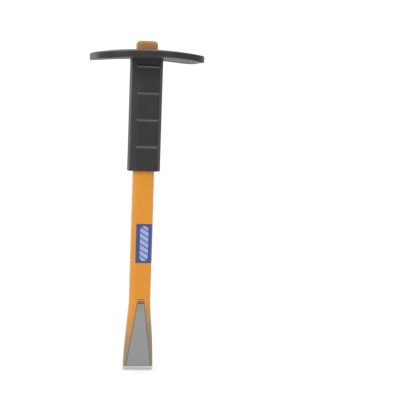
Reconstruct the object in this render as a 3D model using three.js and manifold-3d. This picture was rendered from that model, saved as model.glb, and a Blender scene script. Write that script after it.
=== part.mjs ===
// Cold chisel with a slip-on hand guard: a forged steel bar, a moulded rubber guard and a stuck-on label.
// Units are millimetres. The tool's axis is Z, with the middle of the cutting edge at the origin and the
// struck end up. X runs along the cutting edge, and the label is on the -Y face.
import * as THREE from "three";
import { mergeVertices } from "three/addons/utils/BufferGeometryUtils.js";
import Module from "manifold-3d";

const wasm = await Module();
wasm.setup();

// ---- Driving dimensions ----
const LENGTH = 300;

const SHANK = { width: 19.2, depth: 12, chamfer: 2.9 }; // flat octagon bar
const HEAD = { chamferHeight: 2.2, chamferInset: 1.5 };

const BLADE = {
  length: 62, // from the edge to the plain shank
  edgeWidth: 27.2,
  flarePower: 1.2, // how soon the sides swing out
  honedHeight: 3.6,
  honedDepth: 5, // thickness at the top of the honed bevel
  landDepth: 0.3, // the flat left on the edge itself
  sideDepth: 3.8, // thickness of the side at the top of the honed bevel
  crown: 0.45, // how far the ground face stands above its painted flanks, mid blade
  groundTopWidth: 6.4,
  groundMargin: 2.2, // painted strip left beside the ground face at the edge
};

const GRIP = { bottom: 181.5, width: 28.8, depth: 19.6, chamfer: 4.2 };
const RIB = { count: 4, pitch: 24.4, lowest: 203.5, height: 3.2, slope: 1, proud: 1.1 };
const SHIELD = {
  top: 292.3, // on the axis
  halfWidth: 50.3,
  halfDepth: 35,
  plumpness: 4, // 2 is an ellipse, more is squarer
  hubDepth: 4.8,
  hubRadius: 17,
  rimDepth: 5.5,
  rimDip: 0.8, // how far the top falls from the hub to the rim before it is bent
  rimRadius: 1,
  endThickening: 0.15, // how much thicker it is at its two ends, as a share
  droopWidthwise: 3.6,
  droopDepthwise: 1.5,
};
const BORE_CLEARANCE = 0.3;

const LABEL = { height: 35.6, thickness: 0.15, glueGap: 0.02, bottom: 98, margin: 0.3 };

// ---- Small helpers ----
const lerp = THREE.MathUtils.lerp;

/** Corners of a rectangle with 45-degree corners, anticlockwise seen from +Z. */
function flatOctagon(width, depth, chamfer) {
  const [x, y] = [width / 2, depth / 2];
  return [
    [-x, -y + chamfer], [-x + chamfer, -y], [x - chamfer, -y], [x, -y + chamfer],
    [x, y - chamfer], [x - chamfer, y], [-x + chamfer, y], [-x, y - chamfer],
  ];
}

function shapeOf(corners) {
  return new THREE.Shape(corners.map(([x, y]) => new THREE.Vector2(x, y)));
}

/** A straight prism of that outline from z = bottom to z = top. */
function prism(corners, bottom, top) {
  const options = { depth: top - bottom, bevelEnabled: false };
  return new THREE.ExtrudeGeometry(shapeOf(corners), options).translate(0, 0, bottom);
}

/** A closed skin through sections of equal point count: [{ z, corners }], lowest first. */
function loft(sections) {
  const count = sections[0].corners.length;
  const positions = sections.flatMap(({ z, corners }) => corners.flatMap(([x, y]) => [x, y, z]));
  const indices = [];
  for (let level = 0; level + 1 < sections.length; level++) {
    for (let i = 0; i < count; i++) {
      const next = (i + 1) % count;
      const [a, b] = [level * count + i, level * count + next];
      indices.push(a, b, b + count, a, b + count, a + count);
    }
  }
  const last = (sections.length - 1) * count;
  for (let i = 1; i + 1 < count; i++) {
    indices.push(0, i + 1, i, last, last + i, last + i + 1);
  }
  const geometry = new THREE.BufferGeometry();
  geometry.setAttribute("position", new THREE.Float32BufferAttribute(positions, 3));
  geometry.setIndex(indices);
  return geometry;
}

/** A geometry as a manifold-3d solid. */
function solid(geometry) {
  const bare = geometry.clone().deleteAttribute("normal").deleteAttribute("uv");
  const merged = mergeVertices(bare, 1e-4);
  return new wasm.Manifold(
    new wasm.Mesh({
      numProp: 3,
      vertProperties: merged.getAttribute("position").array,
      triVerts: new Uint32Array(merged.index.array),
    }),
  );
}

/** A manifold-3d solid as a geometry. */
function geometryOf(manifold) {
  const mesh = manifold.getMesh();
  const geometry = new THREE.BufferGeometry();
  geometry.setAttribute("position", new THREE.BufferAttribute(mesh.vertProperties, 3));
  geometry.setIndex(new THREE.BufferAttribute(mesh.triVerts, 1));
  geometry.computeVertexNormals();
  return geometry;
}

function material(color, roughness, metalness) {
  return new THREE.MeshStandardMaterial({ color, roughness, metalness });
}

function named(name, geometry, look) {
  const mesh = new THREE.Mesh(geometry, look);
  mesh.name = name;
  return mesh;
}

// ---- Chisel bar ----
/** Corners of the bar across the blade, at height z: a ground middle with a painted flank on each side. */
function bladeCorners(z) {
  const { length, edgeWidth, honedHeight, honedDepth, sideDepth, groundMargin } = BLADE;
  const share = (length - z) / length; // 0 at the shank, 1 at the edge
  const taper = THREE.MathUtils.clamp((length - z) / (length - honedHeight), 0, 1);
  const swing = Math.sin((share * Math.PI) / 2) ** BLADE.flarePower;
  const halfWidth = lerp(SHANK.width, edgeWidth, swing) / 2;
  const ground = lerp(BLADE.groundTopWidth, edgeWidth - 2 * groundMargin, taper) / 2;
  const flankX = lerp(SHANK.width - 2 * SHANK.chamfer, edgeWidth - groundMargin, taper) / 2;
  const honing = Math.min(1, z / honedHeight); // 1 above the honed bevel
  const half = (full) => lerp(BLADE.landDepth, full, honing) / 2;
  const middle = half(lerp(SHANK.depth, honedDepth, taper));
  const flank = middle - BLADE.crown * Math.sin(taper * Math.PI);
  const side = half(lerp(SHANK.depth - 2 * SHANK.chamfer, sideDepth, taper));
  const front = [
    [-halfWidth, -side], [-flankX, -flank], [-ground, -middle],
    [ground, -middle], [flankX, -flank], [halfWidth, -side],
  ];
  return [...front, ...front.map(([x, y]) => [-x, -y])];
}

/** Corners of the plain shank with the blade's corner count, drawn in by inset all round. */
function shankCorners(inset) {
  const halfWidth = SHANK.width / 2 - inset;
  const halfDepth = SHANK.depth / 2 - inset;
  const ground = BLADE.groundTopWidth / 2;
  const chamfer = SHANK.chamfer;
  const front = [
    [-halfWidth, chamfer - halfDepth], [chamfer - halfWidth, -halfDepth], [-ground, -halfDepth],
    [ground, -halfDepth], [halfWidth - chamfer, -halfDepth], [halfWidth, chamfer - halfDepth],
  ];
  return [...front, ...front.map(([x, y]) => [-x, -y])];
}

function chiselBar() {
  const bladeSteps = 12;
  const sections = [{ z: 0, corners: bladeCorners(0) }];
  for (let i = 0; i <= bladeSteps; i++) {
    const z = lerp(BLADE.honedHeight, BLADE.length, i / bladeSteps);
    sections.push({ z, corners: bladeCorners(z) });
  }
  sections.push({ z: LENGTH - HEAD.chamferHeight, corners: shankCorners(0) });
  sections.push({ z: LENGTH, corners: shankCorners(HEAD.chamferInset) });
  return named("chisel_bar", loft(sections), material(0xde9632, 0.45, 0));
}

// ---- Hand guard ----
/** Distance from the axis to the shield's rim in that direction. */
function rimDistance(angle) {
  const { halfWidth, halfDepth, plumpness } = SHIELD;
  const across = Math.abs(Math.cos(angle) / halfWidth) ** plumpness;
  const along = Math.abs(Math.sin(angle) / halfDepth) ** plumpness;
  return (across + along) ** (-1 / plumpness);
}

/** The shield: a disc turned about Z, stretched to its rounded oblong and bent down towards its rim. */
function shieldSolid() {
  const { halfWidth, hubDepth, hubRadius, rimDepth, rimDip, rimRadius } = SHIELD;
  const rimBottom = -rimDip - rimDepth;
  const turn = 5; // points on each rounded corner of the rim
  const profile = [new THREE.Vector2(0, -hubDepth), new THREE.Vector2(hubRadius, -hubDepth)];
  for (const [centre, from] of [[rimBottom + rimRadius, -90], [-rimDip - rimRadius, 0]]) {
    for (let i = 0; i <= turn; i++) {
      const angle = THREE.MathUtils.degToRad(from + (90 * i) / turn);
      const radius = halfWidth - rimRadius + rimRadius * Math.cos(angle);
      profile.push(new THREE.Vector2(radius, centre + rimRadius * Math.sin(angle)));
    }
  }
  for (const share of [0.75, 0.5, 0.25, 0]) {
    profile.push(new THREE.Vector2(halfWidth * share, -rimDip * share * share));
  }
  const geometry = new THREE.LatheGeometry(profile, 64).rotateX(Math.PI / 2);
  const position = geometry.getAttribute("position");
  for (let i = 0; i < position.count; i++) {
    const angle = Math.atan2(position.getY(i), position.getX(i));
    const radius = Math.hypot(position.getX(i), position.getY(i));
    const stretched = (radius * rimDistance(angle)) / halfWidth;
    const [x, y] = [stretched * Math.cos(angle), stretched * Math.sin(angle)];
    const [towardsEnd, towardsSide] = [(x / halfWidth) ** 2, (y / SHIELD.halfDepth) ** 2];
    const droop = SHIELD.droopWidthwise * towardsEnd + SHIELD.droopDepthwise * towardsSide;
    const depth = position.getZ(i) * (1 + SHIELD.endThickening * towardsEnd);
    position.setXYZ(i, x, y, SHIELD.top + depth - droop);
  }
  return solid(geometry);
}

/** Rib i, counted from the bottom, across the flat of the grip's front (side -1) or back (side 1). */
function rib(side, i) {
  const [lowest, highest] = [-1, 1].map((end) => RIB.lowest + RIB.pitch * i + (end * RIB.height) / 2);
  const flat = (side * GRIP.depth) / 2;
  const face = flat + side * RIB.proud;
  const root = flat - side * 0.5; // sunk into the grip so that the two join
  const width = GRIP.width - 2 * GRIP.chamfer;
  const outline = [
    [root, lowest], [flat, lowest], [face, lowest + RIB.slope],
    [face, highest - RIB.slope], [flat, highest], [root, highest],
  ];
  const geometry = new THREE.ExtrudeGeometry(shapeOf(outline), { depth: width, bevelEnabled: false });
  geometry.translate(0, 0, -width / 2);
  geometry.rotateY(Math.PI / 2).rotateX(Math.PI / 2); // the outline's plane becomes YZ
  return solid(geometry);
}

function handGuard() {
  const sleeveTop = SHIELD.top - SHIELD.hubDepth / 2;
  const sleeve = prism(flatOctagon(GRIP.width, GRIP.depth, GRIP.chamfer), GRIP.bottom, sleeveTop);
  let guard = solid(sleeve).add(shieldSolid());
  for (const side of [-1, 1]) {
    for (let i = 0; i < RIB.count; i++) {
      guard = guard.add(rib(side, i));
    }
  }
  const bore = flatOctagon(
    SHANK.width + 2 * BORE_CLEARANCE,
    SHANK.depth + 2 * BORE_CLEARANCE,
    SHANK.chamfer + BORE_CLEARANCE * (2 - Math.SQRT2), // keeps the same gap across the corners
  );
  guard = guard.subtract(solid(prism(bore, GRIP.bottom - 1, SHIELD.top + 1)));
  return named("hand_guard", geometryOf(guard), material(0x2b2b2c, 0.6, 0));
}

// ---- Label ----
/** A sticker on the front of the shank that turns over its right-hand corner facet. */
function label() {
  const { height, thickness, glueGap, bottom, margin } = LABEL;
  const flatX = SHANK.width / 2 - SHANK.chamfer;
  const facet = SHANK.chamfer - margin * Math.SQRT1_2;
  const turnIn = Math.tan(Math.PI / 8); // mitre of the 45-degree turn
  const line = (offset) => {
    const y = -SHANK.depth / 2 - offset;
    const turnX = flatX + offset * turnIn;
    const lift = offset * Math.SQRT1_2;
    return [[margin - flatX, y], [turnX, y], [flatX + facet + lift, facet - SHANK.depth / 2 - lift]];
  };
  const outline = [...line(glueGap + thickness), ...line(glueGap).reverse()];
  return named("label", prism(outline, bottom, bottom + height), material(0x2f4a9c, 0.35, 0));
}

const chisel = new THREE.Group();
chisel.add(chiselBar(), handGuard(), label());

export default chisel;
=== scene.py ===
"""A flat cold chisel with a slip-on rubber hand guard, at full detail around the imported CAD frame.

Everything is in metres in the CAD's own frame: +Z runs up the tool from the cutting edge at z = 0 to the
struck head, X runs along the edge, and -Y is the front, where the label is.
"""

import math

import bpy
import numpy as np
from mathutils import Matrix, Vector, noise


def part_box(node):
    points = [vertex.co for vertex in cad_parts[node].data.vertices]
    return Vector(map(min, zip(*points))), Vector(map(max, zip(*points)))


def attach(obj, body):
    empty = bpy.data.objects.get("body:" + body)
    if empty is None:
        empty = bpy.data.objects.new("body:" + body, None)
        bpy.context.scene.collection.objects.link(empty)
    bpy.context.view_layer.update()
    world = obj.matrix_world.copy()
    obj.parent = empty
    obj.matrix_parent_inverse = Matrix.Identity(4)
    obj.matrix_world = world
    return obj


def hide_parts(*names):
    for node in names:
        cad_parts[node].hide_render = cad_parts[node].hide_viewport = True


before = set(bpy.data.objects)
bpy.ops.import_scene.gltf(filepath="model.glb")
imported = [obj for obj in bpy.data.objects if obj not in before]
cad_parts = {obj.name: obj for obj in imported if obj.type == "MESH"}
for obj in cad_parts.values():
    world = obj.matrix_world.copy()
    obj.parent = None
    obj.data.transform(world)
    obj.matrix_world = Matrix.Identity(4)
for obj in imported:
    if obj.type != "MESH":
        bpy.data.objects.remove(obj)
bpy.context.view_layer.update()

MM = 0.001

# ---- Sizes that the frame gives ----
BAR_LOW, BAR_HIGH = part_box("chisel_bar")
GUARD_LOW, GUARD_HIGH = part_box("hand_guard")
LABEL_LOW, LABEL_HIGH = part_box("label")
LENGTH = BAR_HIGH.z
EDGE_WIDTH = BAR_HIGH.x - BAR_LOW.x
SHANK_DEPTH = BAR_HIGH.y - BAR_LOW.y
GRIP_BOTTOM = GUARD_LOW.z

# ---- Chisel bar ----
SHANK_WIDTH = 19.2 * MM
SHANK_CHAMFER = 2.9 * MM
SHANK_ROUNDING = 0.9 * MM  # how far each corner's rounding reaches along its two sides
BLADE_LENGTH = 62 * MM
BLADE_ROUNDING = 0.3 * MM  # what the corners' rounding comes down to at the edge
FLARE_POWER = 1.2
HONED_HEIGHT = 3.6 * MM
HONED_DEPTH = 5 * MM
LAND_DEPTH = 0.3 * MM
BLADE_SIDE_DEPTH = 3.8 * MM
BLADE_CROWN = 0.45 * MM
GROUND_TOP_WIDTH = 6.4 * MM
GROUND_MARGIN = 2.2 * MM
GROUND_ROUNDING = 0.16 * MM
RUNOUT_DIP = 0.3 * MM  # where the grinding wheel came off the face
RUNOUT_LENGTH = 9 * MM
HEAD_CHAMFER = 2.2 * MM
HEAD_INSET = 1.5 * MM
HEAD_ROUNDING = 0.8 * MM
HEAD_DOME = 0.25 * MM
FORGING_LUMPS = 0.07 * MM
LARGE_LUMP = 8 * MM
SMALL_LUMP = 3 * MM
LUMP_SINK = 0.6  # how far the lumps lie inwards, as a share of their height, to stay in the CAD's box

# ---- Hand guard ----
GRIP_WIDTH = 28.8 * MM
GRIP_DEPTH = 19.6 * MM
GRIP_CHAMFER = 4.2 * MM
GRIP_ROUNDING = 1.5 * MM
BORE_CLEARANCE = 0.3 * MM
BORE_ROUNDING = 0.5 * MM
MOUTH = 0.6 * MM  # rounding where the bore opens at either end
GRIP_END_ROUNDING = 1.2 * MM
SHIELD_TOP = 292.3 * MM
SHIELD_PLUMPNESS = 4  # the power of its outline: 2 is an ellipse, and more is squarer
SHIELD_HUB_DEPTH = 4.8 * MM
RIM_DEPTH = 5.5 * MM
RIM_DIP = 0.8 * MM
RIM_RADIUS = 1 * MM
END_THICKENING = 0.15  # how much thicker the shield is at its two ends, as a share
DROOP_WIDTHWISE = 3.6 * MM
DROOP_DEPTHWISE = 1.5 * MM
SHIELD_FILLET = 3 * MM
RIB_COUNT = 4
RIB_PITCH = 24.4 * MM
LOWEST_RIB = 203.5 * MM
RIB_HEIGHT = 3.2 * MM
RIB_PROUD = 1.1 * MM
RIB_RUNOUT = 3.5 * MM
RIB_LEFT_AT_END = 0.35  # how far along its run-out a rib still is at the end of the flat
RIB_SHARPNESS = 1.5
FLAT_BORDER = 0.4 * MM  # the strip beside the flat over which a rib dies away
SEAM_HEIGHT = 0.12 * MM
SEAM_WIDTH = 0.3 * MM

# ---- Label ----
LABEL_THICKNESS = 0.15 * MM
LABEL_GLUE = 0.02 * MM
LABEL_MARGIN = 0.3 * MM
LABEL_CORNER = 0.9 * MM
LABEL_COLUMNS = 60
LABEL_STEP = 1.2 * MM
BAND_MIDDLE = 0.46  # where the printed band runs, as a share of the label's width

# ---- View ----
VIEW_WIDTH = 365 * MM  # what the picture takes in at the tool
VIEW_DISTANCE = 1.75
VIEW_AZIMUTH = -14.5
VIEW_ELEVATION = 1.8
TOOL_LEAN = 1.8
MIDDLE_RIGHT_OF_TOOL = 52.6 * MM
MIDDLE_ABOVE_HALF_LENGTH = 5.2 * MM
SENSOR_WIDTH = 36  # in millimetres, as Blender takes it
VIEW_END = 50  # how far the camera sees

# ---- Studio ----
WORLD_STRENGTH = 1.1
DIM_STRENGTH = 0.15
DIM_SIDE = (0.2, -0.98, 0.0)
DIM_SPREAD = (0.2, 0.6)  # it starts and is full where a direction lies this much along the dim side
DIM_HEIGHT = (0.5, 0.2)  # and where a direction rises or falls this much
KEY_PLACE = (-0.5, -1.6, 1.1)
KEY_SIZE = 0.8
KEY_POWER = 11
FLOOR_REACH = 12.0
FLOOR_TICKS = 24
FLOOR_TONE = (0.93, 0.96)
FLOOR_MOTTLE = 60  # in millimetres, as in all materials


# ---- Mesh helpers ----
def lerp(a, b, t):
    return a + (b - a) * t


def smoothstep(t):
    t = np.clip(t, 0.0, 1.0)
    return t * t * (3 - 2 * t)


def spread(low, high, step):
    """Even steps from low to high, both included."""
    return np.linspace(low, high, max(2, int(round((high - low) / step)) + 1))


def flat_octagon(width, depth, chamfer):
    """Corners anticlockwise from above, starting at the left end of the front flat."""
    x, y = width / 2, depth / 2
    front = [(-x + chamfer, -y), (x - chamfer, -y), (x, -y + chamfer), (x, y - chamfer)]
    return front + [(-a, -b) for a, b in front]


def rounded_ring(corners, reach, arc_steps, sides):
    """Points round a polygon with rounded corners, the same number whatever its size.

    reach is how far each corner's rounding goes along its sides, and sides holds each side's inner points,
    as shares of its length. The side after corner i is side i.
    """
    corners = np.array(corners, float)
    after = np.roll(corners, -1, axis=0) - corners
    lengths = np.linalg.norm(after, axis=1)
    after /= lengths[:, None]
    before = np.roll(after, 1, axis=0)
    shortest = np.minimum(lengths, np.roll(lengths, 1))
    reach = np.minimum(reach, 0.4 * shortest)[:, None]
    start, end = corners - before * reach, corners + after * reach
    t = np.linspace(0, 1, arc_steps + 1)[:, None]
    points = []
    for i, corner in enumerate(corners):
        points.append((1 - t) ** 2 * start[i] + 2 * t * (1 - t) * corner + t**2 * end[i])
        following = start[(i + 1) % len(corners)]
        share = np.asarray(sides[i % len(sides)])[:, None]
        points.append(lerp(end[i], following, share))
    return np.vstack(points)


def at_height(outline, z):
    """The outline as points in space, at one height or at one for each point."""
    return np.column_stack([outline, np.broadcast_to(z, len(outline))])


def even_shares(count):
    """That many shares between 0 and 1, evenly apart."""
    return np.arange(1, count + 1) / (count + 1)


def grid_faces(rings, around, closed_rings):
    """Quads between rings of points, facing out where the rings go up anticlockwise."""
    faces = []
    for r in range(rings if closed_rings else rings - 1):
        here, there = r * around, ((r + 1) % rings) * around
        for i in range(around):
            j = (i + 1) % around
            faces.append((here + i, here + j, there + j, there + i))
    return faces


def sheet_faces(rows, columns):
    """Quads between rows of points, facing whoever sees the rows go up and run to the right."""
    starts = [row * columns + column for row in range(rows - 1) for column in range(columns - 1)]
    return [(a, a + 1, a + 1 + columns, a + columns) for a in starts]


def make_piece(name, points, faces, material):
    mesh = bpy.data.meshes.new(name)
    mesh.from_pydata([tuple(p) for p in points], [], faces)
    mesh.validate()
    mesh.polygons.foreach_set("use_smooth", [True] * len(mesh.polygons))
    mesh.materials.append(material)
    piece = bpy.data.objects.new(name, mesh)
    bpy.context.scene.collection.objects.link(piece)
    return piece


def store(piece, name, values):
    """Keeps one number for each vertex, for the material to read."""
    attribute = piece.data.attributes.new(name, "FLOAT", "POINT")
    attribute.data.foreach_set("value", np.asarray(values, np.float32))


# ---- Node helpers ----
def new_material(name):
    """A material with an empty tree. Returns the material and its tree."""
    material = bpy.data.materials.new(name)
    material.use_nodes = True
    material.node_tree.nodes.clear()
    return material, material.node_tree


def add(tree, kind, inputs=None, **settings):
    """Adds a node. An input is a plain value or another node's output."""
    made = tree.nodes.new(kind)
    for key, value in settings.items():
        setattr(made, key, value)
    for key, value in (inputs or {}).items():
        if isinstance(value, bpy.types.NodeSocket):
            tree.links.new(value, made.inputs[key])
        else:
            made.inputs[key].default_value = value
    return made


def calc(tree, operation, a, b=0.0, c=0.0):
    return add(tree, "ShaderNodeMath", {0: a, 1: b, 2: c}, operation=operation).outputs[0]


def between(tree, value, low, high):
    """0 where value is at or below low, 1 at or above high, and smooth between."""
    inputs = {"Value": value, "From Min": low, "From Max": high}
    return add(tree, "ShaderNodeMapRange", inputs, interpolation_type="SMOOTHSTEP").outputs["Result"]


def scaled(tree, value, low, high):
    """A value from 0 to 1 taken to the range from low to high."""
    return add(tree, "ShaderNodeMapRange", {"Value": value, "To Min": low, "To Max": high}).outputs["Result"]


def times(tree, a, b):
    return calc(tree, "MULTIPLY", a, b)


def stretched(tree, vector, scale):
    return add(tree, "ShaderNodeMapping", {"Vector": vector, "Scale": scale}).outputs[0]


def place(tree):
    """Where a point is in the tool's frame, in millimetres."""
    where = add(tree, "ShaderNodeTexCoord").outputs["Object"]
    return stretched(tree, where, (1 / MM,) * 3)


def stored(tree, name):
    """The number of that name that store kept for each vertex."""
    return add(tree, "ShaderNodeAttribute", attribute_name=name).outputs["Fac"]


def cloud(tree, vector, size, detail=3.0, roughness=0.55):
    """Noise from 0 to 1 with lumps of that size in millimetres."""
    inputs = {"Vector": vector, "Scale": 1 / size, "Detail": detail, "Roughness": roughness}
    return add(tree, "ShaderNodeTexNoise", inputs).outputs["Fac"]


def wavering(tree, noise_share):
    """Noise from 0 to 1 taken to the range from -0.25 to 0.25."""
    return calc(tree, "MULTIPLY_ADD", noise_share, 0.5, -0.25)


def from_repeat_middle(tree, value, pitch):
    """0 half way along each repeat of that pitch and 0.5 where the next one starts."""
    share = calc(tree, "FRACT", calc(tree, "DIVIDE", value, pitch))
    return calc(tree, "ABSOLUTE", calc(tree, "SUBTRACT", share, 0.5))


def mixed(tree, share, a, b):
    """A number between a and b."""
    return add(tree, "ShaderNodeMix", {0: share, 2: a, 3: b}).outputs[0]


def blend(tree, share, a, b):
    """A colour between a and b."""
    made = add(tree, "ShaderNodeMix", data_type="RGBA")
    made.clamp_factor = True
    for socket, value in ((made.inputs[0], share), (made.inputs[6], a), (made.inputs[7], b)):
        if isinstance(value, bpy.types.NodeSocket):
            tree.links.new(value, socket)
        else:
            socket.default_value = value
    return made.outputs[2]


def bump(tree, height, depth):
    """Raises the surface by depth, in metres, where height is 1."""
    inputs = {"Height": height, "Distance": depth, "Strength": 1.0}
    return add(tree, "ShaderNodeBump", inputs).outputs[0]


def finish_shader(tree, inputs):
    shader = add(tree, "ShaderNodeBsdfPrincipled", inputs)
    add(tree, "ShaderNodeOutputMaterial", {"Surface": shader.outputs[0]})


# ---- Lacquered steel ----
# In the materials, sizes, heights and places are in millimetres.
LACQUER = (0.69, 0.27, 0.012, 1)
LACQUER_DEEP = (0.62, 0.225, 0.008, 1)
# A brown-olive: tarnish towards the edge, and on the right-hand flank partly painted shade.
TARNISH_AND_SHADE = (0.23, 0.205, 0.12, 1)
# The head's brown: partly heat scale, partly painted shade.
HEAD_BROWN_SHADE = (0.35, 0.18, 0.06, 1)
# Heat scale at the lacquer's rim and above the honed bevel, and in the wheel's nicks partly painted shade.
SCALE_AND_SHADE_BROWN = (0.07, 0.045, 0.025, 1)
GROUND_STEEL = (0.37, 0.37, 0.37, 1)
GROUND_STEEL_DARK = (0.28, 0.28, 0.285, 1)
HONED_STEEL = (0.78, 0.78, 0.77, 1)
HONED_STEEL_DARK = (0.55, 0.55, 0.53, 1)

BLADE_TOP = BLADE_LENGTH / MM
HONED_TOP = HONED_HEIGHT / MM
BORDER_RAGGEDNESS = 1.1
CHIP_SIZE = 2.6
POOL_SIZE = 14
CLOUDINESS_SIZE = 7
PEEL_SIZE = 1.3
LUMP_SIZE = 6.5
GRINDING_LINES = (5.5, 5.5, 0.16)  # repeats for each millimetre: fine across the blade and long up it
HONING_LINES = (0.12, 0.12, 7)  # long across the blade and fine up it

FILM_HEIGHT = 0.05  # the lacquer's own thickness, at its edges
PEEL_HEIGHT = 0.028
LUMP_HEIGHT = 0.1
SCRATCH_HEIGHT = 0.014
NICK_DEPTH = 0.15

# Each pair is where an effect starts and where it is full.
CHIP_NOISE = (0.66, 0.7)
CHIP_ARRIS = (0.62, 0.95)
BARE_BORDER = (-0.04, 0.04)
RIM_ON_LACQUER = (-0.9, -0.05)
RIM_ON_STEEL = (0.7, 0.0)
TARNISH_DOWN = (BLADE_TOP, 4)
# The right-hand flank's extra darkening is partly tarnish and partly painted shade on the side turned from
# the light.
FLANK_TARNISH_AND_SHADE_ACROSS = (0, 6)
FLANK_TARNISH_AND_SHADE_DOWN = (72, 50)
HEAD_SHADE_UP = (286, 291)
BURR_DOWN = (HONED_TOP + 0.9, HONED_TOP + 0.2)
GRINDING_CONTRAST = (0.3, 0.7)

LACQUER_ROUGHNESS = (0.3, 0.46)
STEEL_ROUGHNESS = (0.3, 0.52)


def lacquered_steel():
    """Orange lacquer on a forging, with bare ground steel where the vertex value bare is above 0."""
    material, tree = new_material("lacquered_steel")
    where = place(tree)
    sides = add(tree, "ShaderNodeSeparateXYZ", {0: where}).outputs
    honed = stored(tree, "honed")
    ragged = wavering(tree, cloud(tree, where, BORDER_RAGGEDNESS, 4))
    border = calc(tree, "ADD", stored(tree, "bare"), ragged)
    rim = times(tree, between(tree, border, *RIM_ON_LACQUER), between(tree, border, *RIM_ON_STEEL))
    chips = between(tree, cloud(tree, where, CHIP_SIZE, 5, 0.65), *CHIP_NOISE)
    chipped = times(tree, chips, between(tree, stored(tree, "arris"), *CHIP_ARRIS))
    steel = calc(tree, "MAXIMUM", between(tree, border, *BARE_BORDER), chipped)
    nicks = wheel_nicks(tree, sides)

    grinding = cloud(tree, stretched(tree, where, GRINDING_LINES), 1, 4, 0.6)
    honing = cloud(tree, stretched(tree, where, HONING_LINES), 1, 3, 0.6)
    marks = mixed(tree, honed, grinding, honing)
    lacquer = lacquer_colour(tree, where, sides, rim)
    ground = ground_colour(tree, sides, grinding, rim)
    metal = blend(tree, honed, ground, blend(tree, honing, HONED_STEEL_DARK, HONED_STEEL))
    # The nicks are darkened to that brown and made less metallic: partly scorch, partly painted shade in
    # their grooves.
    colour = blend(tree, times(tree, nicks, 0.85), blend(tree, steel, lacquer, metal), SCALE_AND_SHADE_BROWN)

    peel = cloud(tree, where, PEEL_SIZE, 2)
    lacquer_roughness = scaled(tree, peel, *LACQUER_ROUGHNESS)
    steel_roughness = scaled(tree, marks, *STEEL_ROUGHNESS)
    finish_shader(tree, {
        "Base Color": colour,
        "Metallic": times(tree, steel, calc(tree, "MULTIPLY_ADD", nicks, -0.8, 1.0)),
        "Roughness": mixed(tree, steel, lacquer_roughness, steel_roughness),
        "Normal": bump(tree, steel_relief(tree, where, steel, peel, marks, nicks), MM),
        "IOR": 1.5,
    })
    return material


def lacquer_colour(tree, where, sides, rim):
    """Orange, dull towards the edge, darker on the right-hand flank (tarnish and painted shade), brown at
    the head (heat scale and painted shade) and at its own rim.
    """
    lacquer = blend(tree, cloud(tree, where, POOL_SIZE, 3), LACQUER, LACQUER_DEEP)
    cloudy = wavering(tree, cloud(tree, where, CLOUDINESS_SIZE, 4))
    downwards = calc(tree, "ADD", between(tree, sides["Z"], *TARNISH_DOWN), cloudy)
    # The right-hand flank darkens more: partly tarnish, partly painted shade.
    across = between(tree, sides["X"], *FLANK_TARNISH_AND_SHADE_ACROSS)
    on_flank = times(tree, across, between(tree, sides["Z"], *FLANK_TARNISH_AND_SHADE_DOWN))
    tarnish_and_shade = calc(tree, "MULTIPLY_ADD", on_flank, 0.5, times(tree, downwards, 0.95))
    lacquer = blend(tree, tarnish_and_shade, lacquer, TARNISH_AND_SHADE)
    # The head turns brown: partly heat scale, partly painted shade.
    head = calc(tree, "ADD", between(tree, sides["Z"], *HEAD_SHADE_UP), times(tree, cloudy, 0.6))
    lacquer = blend(tree, times(tree, head, 0.85), lacquer, HEAD_BROWN_SHADE)
    return blend(tree, times(tree, rim, 0.5), lacquer, SCALE_AND_SHADE_BROWN)


def ground_colour(tree, sides, grinding, rim):
    """Grey with the wheel's lines up it, dark at its rim and above the honed bevel."""
    ground = blend(tree, between(tree, grinding, *GRINDING_CONTRAST), GROUND_STEEL_DARK, GROUND_STEEL)
    ground = blend(tree, times(tree, rim, 0.6), ground, SCALE_AND_SHADE_BROWN)
    return blend(tree, times(tree, between(tree, sides["Z"], *BURR_DOWN), 0.45), ground, SCALE_AND_SHADE_BROWN)


def steel_relief(tree, where, steel, peel, marks, nicks):
    """The height of the surface's fine relief, in millimetres."""
    painted = calc(tree, "SUBTRACT", 1.0, steel)
    film = times(tree, painted, FILM_HEIGHT)
    grain = times(tree, times(tree, peel, painted), PEEL_HEIGHT)
    forged = times(tree, times(tree, cloud(tree, where, LUMP_SIZE, 3), painted), LUMP_HEIGHT)
    scratches = times(tree, times(tree, marks, steel), SCRATCH_HEIGHT)
    height = calc(tree, "ADD", calc(tree, "ADD", film, grain), calc(tree, "ADD", forged, scratches))
    return calc(tree, "MULTIPLY_ADD", nicks, -NICK_DEPTH, height)


NICK_PITCH = 1.7
NICKS_START = BLADE_TOP - 0.9
NICKS_HALF_WIDTH = 3.9  # at their start
NICKS_NARROWING = 0.2  # for each millimetre up
NICK_LINE = (0.22, 0.34)  # where a nick starts and is full, as shares of the pitch from between two nicks
NICKS_LOWEST = (-0.5, -0.3)
NICKS_HIGHEST = (3.9, 3.6)
NICK_END = (0, 0.8)


def wheel_nicks(tree, sides):
    """1 on the short level nicks that the grinding wheel left at the top of each ground face."""
    above = calc(tree, "SUBTRACT", sides["Z"], NICKS_START)
    line = between(tree, from_repeat_middle(tree, above, NICK_PITCH), *NICK_LINE)
    span = times(tree, between(tree, above, *NICKS_LOWEST), between(tree, above, *NICKS_HIGHEST))
    half_width = calc(tree, "MULTIPLY_ADD", above, -NICKS_NARROWING, NICKS_HALF_WIDTH)
    inside = calc(tree, "SUBTRACT", half_width, calc(tree, "ABSOLUTE", sides["X"]))
    return times(tree, times(tree, line, span), between(tree, inside, *NICK_END))


# ---- Guard rubber ----
RUBBER = (0.008, 0.008, 0.009, 1)
RUBBER_MOTTLE = (0.013, 0.013, 0.014, 1)
RUBBER_BLOOM = (0.026, 0.026, 0.027, 1)
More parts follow.
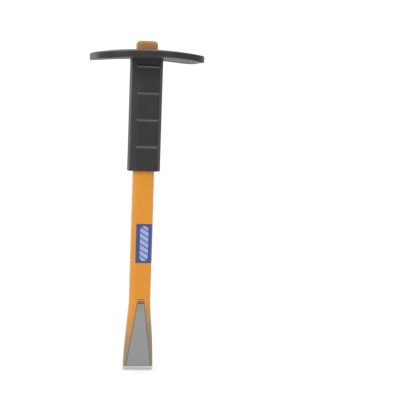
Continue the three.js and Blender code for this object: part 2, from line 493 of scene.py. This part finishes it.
# The ribs' lighter grey: partly scuffed rubber, partly a painted highlight along them.
RUBBER_SCUFF_HIGHLIGHT = (0.11, 0.11, 0.112, 1)
MOTTLE_SIZE = 9
BLOOM_SIZE = 16
SCUFF_HIGHLIGHT_SIZE = 2.2
WAVE_SIZE = 5
WAVE_HEIGHT = 0.07
GRAIN_SIZE = 0.45
GRAIN_HEIGHT = 0.022
BLOOM_NOISE = (0.45, 0.75)
RUBBER_ROUGHNESS = (0.38, 0.5)


def guard_rubber():
    """Matt black moulded rubber with a fine eroded grain, lighter on the ribs: partly scuffing, partly a
    painted highlight.
    """
    material, tree = new_material("guard_rubber")
    where = place(tree)
    mottle = cloud(tree, where, MOTTLE_SIZE, 4)
    bloom = between(tree, cloud(tree, where, BLOOM_SIZE, 5, 0.6), *BLOOM_NOISE)
    # The ribs are painted lighter: partly scuffed rubber, partly a painted highlight.
    worn = times(tree, stored(tree, "scuff_and_highlight"), scaled(tree, cloud(tree, where, SCUFF_HIGHLIGHT_SIZE, 4), 0.5, 1))
    black = blend(tree, mottle, RUBBER, RUBBER_MOTTLE)
    black = blend(tree, times(tree, bloom, 0.35), black, RUBBER_BLOOM)
    black = blend(tree, worn, black, RUBBER_SCUFF_HIGHLIGHT)
    grain = times(tree, cloud(tree, where, GRAIN_SIZE, 3, 0.7), GRAIN_HEIGHT)
    height = calc(tree, "MULTIPLY_ADD", cloud(tree, where, WAVE_SIZE, 2), WAVE_HEIGHT, grain)
    finish_shader(tree, {
        "Base Color": black,
        "Roughness": scaled(tree, mottle, *RUBBER_ROUGHNESS),
        "Normal": bump(tree, height, MM),
        "IOR": 1.5,
        "Specular IOR Level": 0.5,
    })
    return material


# ---- Label film ----
LABEL_BLUE = (0.025, 0.045, 0.17, 1)
LABEL_BLUE_WORN = (0.05, 0.08, 0.27, 1)
LABEL_PALE = (0.24, 0.31, 0.56, 1)
LABEL_PALE_BRIGHT = (0.36, 0.42, 0.66, 1)
BAND_STRAIGHT_HALF = 12
BAND_EDGE = (3.95, 3.8)  # how far out from the band's middle it starts and is full
STRIPE_PITCH = 5.2
STRIPE_SLANT = 0.6
STRIPE_EDGE = (0.1, 0.13)  # the same for the stripes, as shares of their pitch
INK_SIZE = 3
FILM_WAVE_SIZE = 4
FILM_WAVE_HEIGHT = 0.03
FILM_ROUGHNESS = (0.25, 0.4)


def label_film():
    """Dark blue printed film with a pale band down its middle, crossed by slanted blue stripes."""
    material, tree = new_material("label_film")
    where = place(tree)
    across, up = stored(tree, "across"), stored(tree, "up")
    beyond_straight = calc(tree, "SUBTRACT", calc(tree, "ABSOLUTE", up), BAND_STRAIGHT_HALF)
    beyond_end = calc(tree, "MAXIMUM", beyond_straight, 0.0)
    squares = calc(tree, "ADD", calc(tree, "POWER", across, 2), calc(tree, "POWER", beyond_end, 2))
    band = between(tree, calc(tree, "SQRT", squares), *BAND_EDGE)
    slanted = calc(tree, "MULTIPLY_ADD", across, STRIPE_SLANT, up)
    clear = between(tree, from_repeat_middle(tree, slanted, STRIPE_PITCH), *STRIPE_EDGE)
    ink = cloud(tree, where, INK_SIZE, 4)
    blue = blend(tree, ink, LABEL_BLUE, LABEL_BLUE_WORN)
    pale = blend(tree, ink, LABEL_PALE, LABEL_PALE_BRIGHT)
    finish_shader(tree, {
        "Base Color": blend(tree, times(tree, band, clear), blue, pale),
        "Roughness": scaled(tree, ink, *FILM_ROUGHNESS),
        "Normal": bump(tree, cloud(tree, where, FILM_WAVE_SIZE, 3), FILM_WAVE_HEIGHT * MM),
        "IOR": 1.5,
    })
    return material


# ---- Chisel bar ----
# The inner points of the left facet, flank, ground face, flank, right facet and narrow side.
BAR_SIDES = [even_shares(n) for n in (5, 4, 18, 4, 5, 6)]
BAR_ARC_STEPS = 5
HONED_STEP = 0.5 * MM
BLADE_STEP = 0.8 * MM
RUNOUT_STEP = 0.2 * MM
SHANK_STEP = 1.6 * MM
FACE_SHARES = np.linspace(0.92, 0.06, 13)
FORGING_FADE = 1.5  # in millimetres, how far from the bare steel the lumps are full
BARE_LIMIT = 3
SCOOP_TOP = 0.9
WEAR_ALL_OVER = 0.72
BLADE_WEAR_TOP = 20


def grinding_share(z):
    """0 at the top of the blade and above it, and 1 at the honed bevel and below it."""
    return min(max((BLADE_LENGTH - z) / (BLADE_LENGTH - HONED_HEIGHT), 0), 1)


def ground_half_width(z):
    return lerp(GROUND_TOP_WIDTH, EDGE_WIDTH - 2 * GROUND_MARGIN, grinding_share(z)) / 2


def blade_corners(z):
    """The bar across the blade at height z: a ground middle with a painted flank on each side."""
    taper = grinding_share(z)
    swing = math.sin(max((BLADE_LENGTH - z) / BLADE_LENGTH, 0) * math.pi / 2) ** FLARE_POWER
    half_width = lerp(SHANK_WIDTH, EDGE_WIDTH, swing) / 2
    ground = ground_half_width(z)
    flank_x = lerp(SHANK_WIDTH - 2 * SHANK_CHAMFER, EDGE_WIDTH - GROUND_MARGIN, taper) / 2
    honing = min(1, z / HONED_HEIGHT)
    middle = lerp(LAND_DEPTH, lerp(SHANK_DEPTH, HONED_DEPTH, taper), honing) / 2
    flank = middle - BLADE_CROWN * math.sin(taper * math.pi)
    side = lerp(LAND_DEPTH, lerp(SHANK_DEPTH - 2 * SHANK_CHAMFER, BLADE_SIDE_DEPTH, taper), honing) / 2
    front = [
        (-half_width, -side), (-flank_x, -flank), (-ground, -middle),
        (ground, -middle), (flank_x, -flank), (half_width, -side),
    ]
    return front + [(-x, -y) for x, y in front]


def inset_corners(inset):
    """The plain shank drawn in by inset all round, with the blade's corner count."""
    x, y = SHANK_WIDTH / 2 - inset, SHANK_DEPTH / 2 - inset
    ground, chamfer = GROUND_TOP_WIDTH / 2, SHANK_CHAMFER
    front = [
        (-x, chamfer - y), (chamfer - x, -y), (-ground, -y),
        (ground, -y), (x - chamfer, -y), (x, chamfer - y),
    ]
    return front + [(-a, -b) for a, b in front]


def bar_ring(corners, z):
    down_blade = min(max((BLADE_LENGTH - z) / BLADE_LENGTH, 0), 1)
    arris = lerp(SHANK_ROUNDING, BLADE_ROUNDING, down_blade)
    reach = np.array([arris, arris, GROUND_ROUNDING, GROUND_ROUNDING, arris, arris] * 2)
    return at_height(rounded_ring(corners, reach, BAR_ARC_STEPS, BAR_SIDES), z)


def blade_levels():
    """Heights up the blade, closer together at the honed bevel and where the grinding runs out."""
    honed = spread(0.3 * MM, HONED_HEIGHT - 0.1 * MM, HONED_STEP)
    ground = spread(HONED_HEIGHT + 0.8 * MM, BLADE_LENGTH - 1.2 * MM, BLADE_STEP)
    run_out = spread(BLADE_LENGTH - 1 * MM, BLADE_LENGTH, RUNOUT_STEP)
    return [0.0, *honed, HONED_HEIGHT + 0.1 * MM, *ground, *run_out]


def head_turns():
    """The inset and height of each ring of the head's chamfer, from the shank in to the struck face."""
    shoulder, crown = np.array([0, LENGTH - HEAD_CHAMFER]), np.array([HEAD_INSET, LENGTH])
    along = (crown - shoulder) / np.linalg.norm(crown - shoulder)
    turns = [
        (shoulder + (0, -HEAD_ROUNDING), shoulder, shoulder + along * HEAD_ROUNDING),
        (crown - along * HEAD_ROUNDING, crown, crown + (HEAD_ROUNDING, 0)),
    ]
    return [
        (1 - t) ** 2 * start + 2 * t * (1 - t) * corner + t**2 * end
        for start, corner, end in turns
        for t in np.linspace(0, 1, 6)
    ]


def bar_rings():
    """Rings from the edge's land up to the struck face."""
    rings = [bar_ring(blade_corners(z), z) for z in blade_levels()]
    for z in spread(BLADE_LENGTH + 1.5 * MM, LENGTH - HEAD_CHAMFER - 1 * MM, SHANK_STEP):
        rings.append(bar_ring(inset_corners(0), z))
    for inset, z in head_turns():
        rings.append(bar_ring(inset_corners(inset), z))
    # The struck face rises in a slight dome, from a little below its rim.
    face = rings[-1]
    for share in FACE_SHARES:
        ring = face * (share, share, 1)
        ring[:, 2] = LENGTH - HEAD_DOME * share**2
        rings.append(ring)
    return rings


def roughen_forging(points, bare):
    """Moves the painted surface in and out by a few hundredths of a millimetre, as a hammered forging is."""
    rough = points.copy()
    painted = smoothstep(-bare / FORGING_FADE)
    for i, (x, y, z) in enumerate(points):
        if painted[i] > 0:
            where = Vector((x, y, z))
            lump = noise.noise(where / LARGE_LUMP) + 0.5 * noise.noise(where / SMALL_LUMP)
            outward = Vector((x, y * 2, 0))  # mostly square to the wide faces
            step = outward.normalized() * (lump - LUMP_SINK) * FORGING_LUMPS * painted[i]
            rough[i, :2] += (step.x, step.y)
    return rough


def blade_side_depth(z):
    """Half the depth of the bar's narrow side at height z, with a little over it."""
    return abs(blade_corners(min(z, BLADE_LENGTH))[0][1]) + 0.01 * MM


def bareness(points):
    """How far in millimetres each point lies inside the bare steel, and below 0 on the lacquer."""
    x, y, z = (points / MM).T
    ground = np.array([ground_half_width(level) / MM for level in points[:, 2]])
    faces_out = np.abs(y) > np.array([blade_side_depth(level) / MM for level in points[:, 2]])
    bare = np.minimum(ground - np.abs(x), BLADE_TOP - z)
    bare = np.where(faces_out, np.maximum(bare, HONED_TOP - z), -BARE_LIMIT)
    return np.clip(bare, -BARE_LIMIT, BARE_LIMIT)


def run_out_scoop(points):
    """From 0 to 1, the shallow scoop that the wheel's run-out leaves at the top of each ground face."""
    x, _, z = (points / MM).T
    ground = np.array([ground_half_width(level) / MM for level in points[:, 2]])
    below = BLADE_TOP - z
    down = smoothstep(below / SCOOP_TOP) * (1 - smoothstep(below / (RUNOUT_LENGTH / MM)))
    return down * np.clip(1 - (x / ground) ** 4, 0, 1)


def arris_nearness():
    """1 on the octagon's own corners and 0 a third of the way along each side, round one ring."""
    worn = [1, 1, 0, 0, 1, 1] * 2
    values = []
    for i, corner in enumerate(worn):
        following = worn[(i + 1) % len(worn)]
        values += [float(corner)] * (BAR_ARC_STEPS + 1)
        shares = BAR_SIDES[i % len(BAR_SIDES)]
        values += [max(corner * (1 - 3 * s), following * (3 * s - 2), 0) for s in shares]
    return np.array(values)


def bar_wear(z):
    """How much the lacquer suffers at a height in millimetres: most at the head and beside the edge."""
    shoulder = (LENGTH - HEAD_CHAMFER) / MM
    head = smoothstep((z - shoulder + 2) / 3)
    blade = smoothstep((BLADE_WEAR_TOP - z) / BLADE_WEAR_TOP)
    return lerp(WEAR_ALL_OVER, 1, np.maximum(head, blade))


def make_bar(material):
    rings = bar_rings()
    around = len(rings[0])
    points = np.vstack(rings)
    z = points[:, 2] / MM
    bare = bareness(points)
    points[:, 1] -= np.sign(points[:, 1]) * RUNOUT_DIP * np.where(bare > 0, run_out_scoop(points), 0)
    points = roughen_forging(points, bare)
    faces = grid_faces(len(rings), around, False)
    faces.append(tuple(reversed(range(around))))
    faces.append(tuple(range(len(points) - around, len(points))))
    bar = make_piece("forged_bar", points, faces, material)
    store(bar, "bare", bare)
    store(bar, "honed", smoothstep((HONED_TOP + 0.05 - z) / 0.1) * (bare > 0))
    store(bar, "arris", np.tile(arris_nearness(), len(rings)) * bar_wear(z))
    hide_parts("chisel_bar")
    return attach(bar, "bar")


# ---- Hand guard ----
def grip_side_shares():
    """Inner points of the grip's sides from the front on, with more of them at the mould's seam."""
    beside = even_shares(5) * 0.42
    seam = np.concatenate([beside, 0.5 + np.linspace(-0.06, 0.06, 7), 1 - beside])
    return [even_shares(24), even_shares(7), np.sort(seam), even_shares(7)]


GRIP_SIDES = grip_side_shares()
GRIP_ARC_STEPS = 6
QUARTER_TURN = np.linspace(0, math.pi / 2, 8)
RIB_MARGIN = 0.2 * MM
RIB_STEP = 0.18 * MM
GRIP_STEP = 1.3 * MM
BORE_STEP = 6 * MM
SHIELD_TOP_SHARES = np.linspace(0.04, 1, 30)
UNDERSIDE_SHARES = np.linspace(0, 0.96, 26)


def guard_outline(width, depth, chamfer, reach):
    return rounded_ring(flat_octagon(width, depth, chamfer), reach, GRIP_ARC_STEPS, GRIP_SIDES)


def rim_outline(grip):
    """The shield's rounded oblong, point for point with the grip's outline."""
    angle = np.arctan2(grip[:, 1] / GRIP_DEPTH, grip[:, 0] / GRIP_WIDTH)
    cos, sin = np.cos(angle), np.sin(angle)
    power = 2 / SHIELD_PLUMPNESS
    x = GUARD_HIGH.x * np.sign(cos) * np.abs(cos) ** power
    y = GUARD_HIGH.y * np.sign(sin) * np.abs(sin) ** power
    return np.column_stack([x, y])


def shield_ring(outline, depth_below_top):
    """A ring of the shield, which droops towards its rim and is thicker at its two ends."""
    towards_end, towards_side = (outline.T[0] / GUARD_HIGH.x) ** 2, (outline.T[1] / GUARD_HIGH.y) ** 2
    droop = DROOP_WIDTHWISE * towards_end + DROOP_DEPTHWISE * towards_side
    depth = depth_below_top * (1 + END_THICKENING * towards_end)
    return at_height(outline, SHIELD_TOP - depth - droop)


def rib_heights():
    return [LOWEST_RIB + i * RIB_PITCH for i in range(RIB_COUNT)]


def rib_rise(x, z):
    """How far the ribs stand proud of the plain sleeve. They run out towards their ends."""
    nearest = min(abs(z - rib) for rib in rib_heights())
    across = math.cos(math.pi / 2 * min(nearest / (RIB_HEIGHT / 2), 1)) ** RIB_SHARPNESS
    from_end = GRIP_WIDTH / 2 - GRIP_CHAMFER - np.abs(x)
    return RIB_PROUD * across * smoothstep(from_end / RIB_RUNOUT + RIB_LEFT_AT_END)


def grip_levels(top):
    """Heights down the grip, closer together at the ribs."""
    reach = RIB_HEIGHT / 2 + RIB_MARGIN
    gap = 2 * RIB_MARGIN
    fine = [spread(rib - reach, rib + reach, RIB_STEP) for rib in rib_heights()]
    coarse = spread(GRIP_BOTTOM + GRIP_END_ROUNDING + 0.3 * MM, top - 0.5 * MM, GRIP_STEP)
    apart = [z for z in coarse if all(z < f[0] - gap or z > f[-1] + gap for f in fine)]
    return np.sort(np.concatenate([*fine, apart]))[::-1]


def grip_ring(outline, z):
    """The grip's own section at height z, with its ribs and the mould's seam."""
    x, y = outline.T
    on_flat = np.clip((np.abs(y) - GRIP_DEPTH / 2 + FLAT_BORDER) / FLAT_BORDER, 0, 1)
    seam = SEAM_HEIGHT * np.exp(-((y / SEAM_WIDTH) ** 2)) * (np.abs(x) > GRIP_WIDTH / 2 - 0.1 * MM)
    moved = np.column_stack([x + np.sign(x) * seam, y + np.sign(y) * on_flat * rib_rise(x, z)])
    return at_height(moved, z)


def bore_rings(bore, spokes):
    """Up the bore, from its rounded mouth at the grip's bottom to just under its upper mouth."""
    for angle in QUARTER_TURN:
        mouth = bore + spokes * MOUTH * (1 - math.sin(angle))
        yield at_height(mouth, GRIP_BOTTOM + MOUTH * (1 - math.cos(angle)))
    for z in spread(GRIP_BOTTOM + 2 * MM, SHIELD_TOP - 3 * MM, BORE_STEP):
        yield at_height(bore, z)


def shield_rings(bore, grip, rim, spokes):
    """Out over the shield from the bore's upper mouth, round the rim, and back under it to the grip."""
    for angle in QUARTER_TURN:
        mouth = bore + spokes * MOUTH * (1 - math.cos(angle))
        yield shield_ring(mouth, MOUTH * (1 - math.sin(angle)))
    inner_rim = rim - spokes * RIM_RADIUS
    for share in SHIELD_TOP_SHARES:
        outline = lerp(bore + spokes * MOUTH, inner_rim, share)
        yield shield_ring(outline, RIM_DIP * share**2)
    for angle in QUARTER_TURN[1:]:
        outline = inner_rim + spokes * RIM_RADIUS * math.sin(angle)
        yield shield_ring(outline, RIM_DIP + RIM_RADIUS * (1 - math.cos(angle)))
    for angle in QUARTER_TURN[:-1]:
        outline = inner_rim + spokes * RIM_RADIUS * math.cos(angle)
        yield shield_ring(outline, RIM_DIP + RIM_DEPTH - RIM_RADIUS * (1 - math.sin(angle)))
    fillet_start = grip + spokes * SHIELD_FILLET
    for share in UNDERSIDE_SHARES:
        outline = lerp(inner_rim, fillet_start, share)
        yield shield_ring(outline, lerp(RIM_DIP + RIM_DEPTH, SHIELD_HUB_DEPTH, share))
    for angle in QUARTER_TURN:
        outline = grip + spokes * SHIELD_FILLET * (1 - math.sin(angle))
        yield shield_ring(outline, SHIELD_HUB_DEPTH + SHIELD_FILLET * (1 - math.cos(angle)))


def grip_rings(bore, grip, spokes):
    """Down the grip, round its bottom and in to the bore's lower mouth."""
    top = SHIELD_TOP - SHIELD_HUB_DEPTH - SHIELD_FILLET - 0.5 * MM
    for z in grip_levels(top):
        yield grip_ring(grip, z)
    rounding = spokes * GRIP_END_ROUNDING
    for angle in QUARTER_TURN:
        outline = grip - rounding * (1 - math.cos(angle))
        yield at_height(outline, GRIP_BOTTOM + GRIP_END_ROUNDING * (1 - math.sin(angle)))
    for share in (0.35, 0.7):
        yield at_height(lerp(grip - rounding, bore + spokes * MOUTH, share), GRIP_BOTTOM)


def guard_rings():
    """Rings that go up the bore, out over the shield, round its rim, back under it and down the grip."""
    width, depth = SHANK_WIDTH + 2 * BORE_CLEARANCE, SHANK_DEPTH + 2 * BORE_CLEARANCE
    chamfer = SHANK_CHAMFER + BORE_CLEARANCE * (2 - math.sqrt(2))  # the same gap across the corners
    bore = guard_outline(width, depth, chamfer, BORE_ROUNDING)
    grip = guard_outline(GRIP_WIDTH, GRIP_DEPTH, GRIP_CHAMFER, GRIP_ROUNDING)
    rim = rim_outline(grip)
    spokes = rim - grip
    spokes /= np.linalg.norm(spokes, axis=1)[:, None]
    return [
        *bore_rings(bore, spokes),
        *shield_rings(bore, grip, rim, spokes),
        *grip_rings(bore, grip, spokes),
    ]


def make_guard(material):
    rings = guard_rings()
    around = len(rings[0])
    faces = [tuple(reversed(face)) for face in grid_faces(len(rings), around, True)]
    points = np.vstack(rings)
    guard = make_piece("rubber_guard", points, faces, material)
    on_rib = np.array([rib_rise(x, z) for x, _, z in points]) / RIB_PROUD
    # Marks the ribs, which the rubber paints lighter as scuffing and as a painted highlight.
    store(guard, "scuff_and_highlight", on_rib * (np.abs(points[:, 1]) > GRIP_DEPTH / 2))
    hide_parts("hand_guard")
    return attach(guard, "guard")


# ---- Label ----
def label_path():
    """Where the label lies, over the bar's front and its right-hand facet.

    Returns points evenly along it, each one's outward direction and how far along it is.
    """
    ring = bar_ring(inset_corners(0), LABEL_LOW.z)[:, :2]
    start = -SHANK_WIDTH / 2 + SHANK_CHAMFER + LABEL_MARGIN
    facet_end = -SHANK_DEPTH / 2 + SHANK_CHAMFER - LABEL_MARGIN
    run = np.array([(start, -SHANK_DEPTH / 2), *(p for p in ring if p[0] > start and p[1] < facet_end)])
    steps = np.concatenate([[0], np.cumsum(np.linalg.norm(np.diff(run, axis=0), axis=1))])
    even = np.linspace(0, steps[-1], LABEL_COLUMNS)
    path = np.column_stack([np.interp(even, steps, run[:, i]) for i in (0, 1)])
    along = np.gradient(path, axis=0)
    outward = np.column_stack([along[:, 1], -along[:, 0]])
    return path, outward / np.linalg.norm(outward, axis=1)[:, None], even


def label_rows(height):
    """Heights above the label's lower edge, closer together at its rounded corners."""
    turn = LABEL_CORNER * (1 - np.cos(np.linspace(0, math.pi / 2, 7)))
    straight = spread(2 * LABEL_CORNER, height - 2 * LABEL_CORNER, LABEL_STEP)
    return np.concatenate([turn, straight, height - turn[::-1]])


def make_label(material):
    path, outward, even = label_path()
    width, height = even[-1], LABEL_HIGH.z - LABEL_LOW.z
    rows = label_rows(height)
    points, across, up = [], [], []
    for row in rows:
        short = max(LABEL_CORNER - min(row, height - row), 0)
        cut = LABEL_CORNER - math.sqrt(max(LABEL_CORNER**2 - short**2, 0))
        for column in np.linspace(cut, width - cut, LABEL_COLUMNS):
            base = np.array([np.interp(column, even, path[:, i]) for i in (0, 1)])
            out = np.array([np.interp(column, even, outward[:, i]) for i in (0, 1)])
            x, y = base + out * LABEL_GLUE
            points.append((x, y, LABEL_LOW.z + row))
            across.append((column - width * BAND_MIDDLE) / MM)
            up.append((row - height / 2) / MM)
    label = make_piece("label_sticker", points, sheet_faces(len(rows), LABEL_COLUMNS), material)
    store(label, "across", across)
    store(label, "up", up)
    thicken = label.modifiers.new("film", "SOLIDIFY")
    thicken.thickness = LABEL_THICKNESS
    thicken.offset = 1
    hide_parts("label")
    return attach(label, "bar")


# ---- Studio ----
def make_floor():
    material, tree = new_material("studio_floor")
    tone = scaled(tree, cloud(tree, place(tree), FLOOR_MOTTLE, 3), *FLOOR_TONE)
    finish_shader(tree, {"Base Color": tone, "Roughness": 0.75, "Specular IOR Level": 0.2})
    ticks = np.linspace(-FLOOR_REACH, FLOOR_REACH, FLOOR_TICKS)
    points = [(x, y, 0) for y in ticks for x in ticks]
    make_piece("floor", points, sheet_faces(FLOOR_TICKS, FLOOR_TICKS), material)


def make_key_light():
    """A soft disc in front of the tool, above it and to its left, aimed at its middle."""
    data = bpy.data.lights.new("key", "AREA")
    data.shape = "DISK"
    data.size = KEY_SIZE
    data.energy = KEY_POWER
    light = bpy.data.objects.new("key", data)
    light.location = KEY_PLACE
    towards = Vector((0, 0, LENGTH / 2)) - Vector(KEY_PLACE)
    light.rotation_euler = towards.to_track_quat("-Z", "Y").to_euler()
    bpy.context.scene.collection.objects.link(light)


def make_world():
    """White all round, and dimmer low down behind the camera and to its right, as a studio is."""
    world = bpy.data.worlds.new("studio")
    world.use_nodes = True
    tree = world.node_tree
    tree.nodes.clear()
    towards = add(tree, "ShaderNodeTexCoord").outputs["Generated"]
    facing = add(tree, "ShaderNodeVectorMath", {0: towards, 1: DIM_SIDE}, operation="DOT_PRODUCT")
    level = calc(tree, "ABSOLUTE", add(tree, "ShaderNodeSeparateXYZ", {0: towards}).outputs["Z"])
    behind = between(tree, facing.outputs["Value"], *DIM_SPREAD)
    dim = times(tree, behind, between(tree, level, *DIM_HEIGHT))
    strength = scaled(tree, dim, WORLD_STRENGTH, DIM_STRENGTH)
    background = add(tree, "ShaderNodeBackground", {"Color": (1, 1, 1, 1), "Strength": strength})
    add(tree, "ShaderNodeOutputWorld", {"Surface": background.outputs[0]})
    bpy.context.scene.world = world


def make_camera():
    """Looks at the tool from its left and a little above, with the tool leaning and left of the middle."""
    data = bpy.data.cameras.new("camera")
    data.sensor_width = SENSOR_WIDTH
    data.lens = SENSOR_WIDTH * VIEW_DISTANCE / VIEW_WIDTH
    data.clip_end = VIEW_END
    camera = bpy.data.objects.new("camera", data)
    bpy.context.scene.collection.objects.link(camera)
    turn, rise, lean = (math.radians(angle) for angle in (VIEW_AZIMUTH, VIEW_ELEVATION, TOOL_LEAN))
    back = Vector((math.sin(turn) * math.cos(rise), -math.cos(turn) * math.cos(rise), math.sin(rise)))
    level = Vector((math.cos(turn), math.sin(turn), 0))
    upright = back.cross(level)
    up = upright * math.cos(lean) - level * math.sin(lean)
    right = level * math.cos(lean) + upright * math.sin(lean)
    aim = Vector((0, 0, LENGTH / 2)) + right * MIDDLE_RIGHT_OF_TOOL + up * MIDDLE_ABOVE_HALF_LENGTH
    turned = Matrix((right, up, back)).transposed().to_4x4()
    camera.matrix_world = Matrix.Translation(aim + back * VIEW_DISTANCE) @ turned
    bpy.context.scene.camera = camera


bpy.context.scene.view_settings.view_transform = "Standard"
make_camera()
make_world()
make_key_light()
make_floor()
make_bar(lacquered_steel())
make_guard(guard_rubber())
make_label(label_film())
